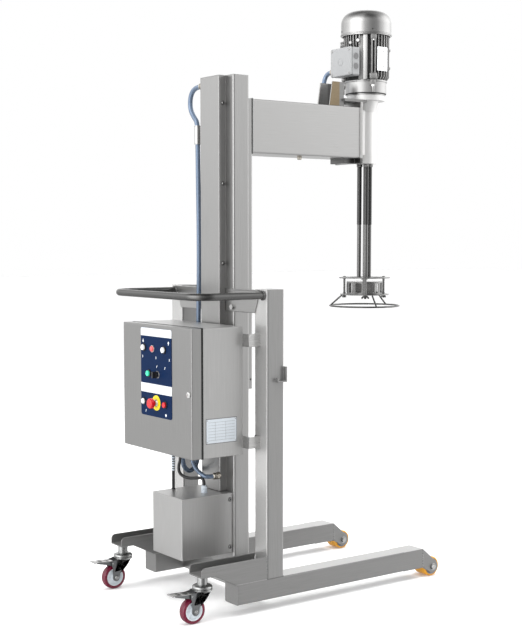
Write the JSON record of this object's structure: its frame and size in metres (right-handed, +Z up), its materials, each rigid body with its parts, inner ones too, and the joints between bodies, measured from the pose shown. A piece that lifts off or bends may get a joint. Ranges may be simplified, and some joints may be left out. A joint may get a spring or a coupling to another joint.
{
  "type": "high shear mixer",
  "caption": "Stainless high shear mixer on a wheeled stand: motor, long stem and slotted head on an arm that a mast lifts and lowers, with control box.",
  "frame": {"origin": "on the floor, at the middle of the footprint of the whole machine", "axes": "+X forward under the mixing head, +Y to the far side, +Z up"},
  "size_m": [1.3565, 0.714, 2.425],
  "materials": {
    "frame_steel": "satin stainless steel, fine brushed grain",
    "cover_steel": "satin stainless steel sheet",
    "bright_steel": "polished stainless steel",
    "cast_aluminium": "polished cast aluminium",
    "terminal_grey": "light grey painted aluminium",
    "zinc_steel": "bright zinc plating",
    "bracket_bronze": "dull bronze brown sheet",
    "hub_grey": "light grey moulded hub",
    "roller_yellow": "yellow polyurethane",
    "blue_conduit": "ribbed blue grey conduit",
    "black_cable": "matt black cable jacket",
    "seal_black": "foamed black gasket",
    "gland_nickel": "nickel plated glands",
    "pad_white": "white guide plastic",
    "device_grey": "dark grey device housings",
    "panel_blue": "dark blue overlay with two white bands",
    "control_black": "black collars and contact blocks",
    "button_white": "white button caps and lenses",
    "button_green": "green button cap",
    "button_red": "red button cap"
  },
  "bodies": {
    "chassis": {"leg_near": "frame_steel", "leg_far": "frame_steel", "cross_beam": "frame_steel", "post_near": "frame_steel", "post_far": "frame_steel", "mast_profile": "frame_steel", "mast_cover": "frame_steel", "frame_fasteners": "bright_steel", "box_brackets": "frame_steel", "tie_plates": "frame_steel", "push_handle": "frame_steel", "box_body": "cover_steel", "door_seal": "seal_black", "drive_electronics": "device_grey", "lower_cover": "cover_steel", "actuator_tube": "cast_aluminium", "lift_gearmotor": "device_grey", "cable_glands": "gland_nickel", "frame_conduits": "blue_conduit", "lift_cables": "black_cable"},
    "carriage": {"carriage_channel": "frame_steel", "guide_pads": "pad_white", "actuator_rod": "bright_steel", "arm": "frame_steel", "motor_bracket": "bracket_bronze", "bearing_housing": "cast_aluminium", "end_shield": "cast_aluminium", "motor_body": "cast_aluminium", "fan_cover": "cast_aluminium", "terminal_box": "terminal_grey", "motor_conduit": "blue_conduit", "arm_glands": "gland_nickel", "head_rods": "bright_steel", "head_top_plate": "bright_steel", "stator": "bright_steel", "head_bottom_plate": "bright_steel", "head_fasteners": "bright_steel", "guard_ring": "bright_steel"},
    "mixer_rotor": {"drive_shaft": "bright_steel", "cooling_fan": "device_grey", "rotor": "bright_steel"},
    "door": {"door_panel": "cover_steel", "control_overlay": "panel_blue", "control_collars": "control_black", "pilot_lamps": "button_white"},
    "lock": {"door_lock": "bright_steel"},
    "selector_knob": {"selector": "control_black"},
    "emergency_stop": {"estop": "button_red"},
    "raise_cap": {"button_raise": "button_white"},
    "lower_cap": {"button_lower": "button_white"},
    "start_cap": {"button_start": "button_green"},
    "stop_cap": {"button_stop": "button_red"},
    "swivel_near": {"caster_fork_near": "zinc_steel"},
    "wheel_near": {"caster_wheel_near": "hub_grey"},
    "pedal_near": {"brake_pedal_near": "zinc_steel"},
    "roller_near": {"front_roller_near": "roller_yellow"},
    "swivel_far": {"caster_fork_far": "zinc_steel"},
    "wheel_far": {"caster_wheel_far": "hub_grey"},
    "pedal_far": {"brake_pedal_far": "zinc_steel"},
    "roller_far": {"front_roller_far": "roller_yellow"}
  },
  "joints": [
    {"name": "lift", "type": "slide", "parent": "chassis", "child": "carriage", "axis": [0, 0, 1], "range_m": [-0.69, 0]},
    {"name": "mixer_spin", "type": "hinge", "parent": "carriage", "child": "mixer_rotor", "pos_m": [0.524, 0, 1.5], "axis": [0, 0, 1], "continuous": true},
    {"name": "door_swing", "type": "hinge", "parent": "chassis", "child": "door", "pos_m": [-0.4985, 0.2615, 0.862], "axis": [0, 0, 1], "range_deg": [-110, 0]},
    {"name": "lock_turn", "type": "hinge", "parent": "door", "child": "lock", "pos_m": [-0.545, -0.235, 0.86], "axis": [1, 0, 0], "range_deg": [0, 90]},
    {"name": "selector_turn", "type": "hinge", "parent": "door", "child": "selector_knob", "pos_m": [-0.545, -0.014, 0.919], "axis": [1, 0, 0], "range_deg": [0, 60]},
    {"name": "emergency_press", "type": "slide", "parent": "door", "child": "emergency_stop", "axis": [1, 0, 0], "range_m": [0, 0.005]},
    {"name": "raise_press", "type": "slide", "parent": "door", "child": "raise_cap", "axis": [1, 0, 0], "range_m": [0, 0.003], "stiffness_N_per_m": 300, "springref_m": -0.002},
    {"name": "lower_press", "type": "slide", "parent": "door", "child": "lower_cap", "axis": [1, 0, 0], "range_m": [0, 0.003], "stiffness_N_per_m": 300, "springref_m": -0.002},
    {"name": "start_press", "type": "slide", "parent": "door", "child": "start_cap", "axis": [1, 0, 0], "range_m": [0, 0.003], "stiffness_N_per_m": 300, "springref_m": -0.002},
    {"name": "stop_press", "type": "slide", "parent": "door", "child": "stop_cap", "axis": [1, 0, 0], "range_m": [0, 0.003], "stiffness_N_per_m": 300, "springref_m": -0.002},
    {"name": "caster_swivel_near", "type": "hinge", "parent": "chassis", "child": "swivel_near", "pos_m": [-0.532, -0.301, 0.13], "axis": [0, 0, 1], "range_deg": [-140, 140]},
    {"name": "caster_roll_near", "type": "hinge", "parent": "swivel_near", "child": "wheel_near", "pos_m": [-0.578, -0.301, 0.05], "axis": [0, 1, 0], "continuous": true},
    {"name": "brake_press_near", "type": "hinge", "parent": "swivel_near", "child": "pedal_near", "pos_m": [-0.594, -0.301, 0.111], "axis": [0, 1, 0], "range_deg": [-12, 0]},
    {"name": "roller_spin_near", "type": "hinge", "parent": "chassis", "child": "roller_near", "pos_m": [0.627, -0.301, 0.042], "axis": [0, 1, 0], "continuous": true},
    {"name": "caster_swivel_far", "type": "hinge", "parent": "chassis", "child": "swivel_far", "pos_m": [-0.532, 0.301, 0.13], "axis": [0, 0, 1], "range_deg": [-140, 140]},
    {"name": "caster_roll_far", "type": "hinge", "parent": "swivel_far", "child": "wheel_far", "pos_m": [-0.578, 0.301, 0.05], "axis": [0, 1, 0], "continuous": true},
    {"name": "brake_press_far", "type": "hinge", "parent": "swivel_far", "child": "pedal_far", "pos_m": [-0.594, 0.301, 0.111], "axis": [0, 1, 0], "range_deg": [-12, 0]},
    {"name": "roller_spin_far", "type": "hinge", "parent": "chassis", "child": "roller_far", "pos_m": [0.627, 0.301, 0.042], "axis": [0, 1, 0], "continuous": true}
  ]
}
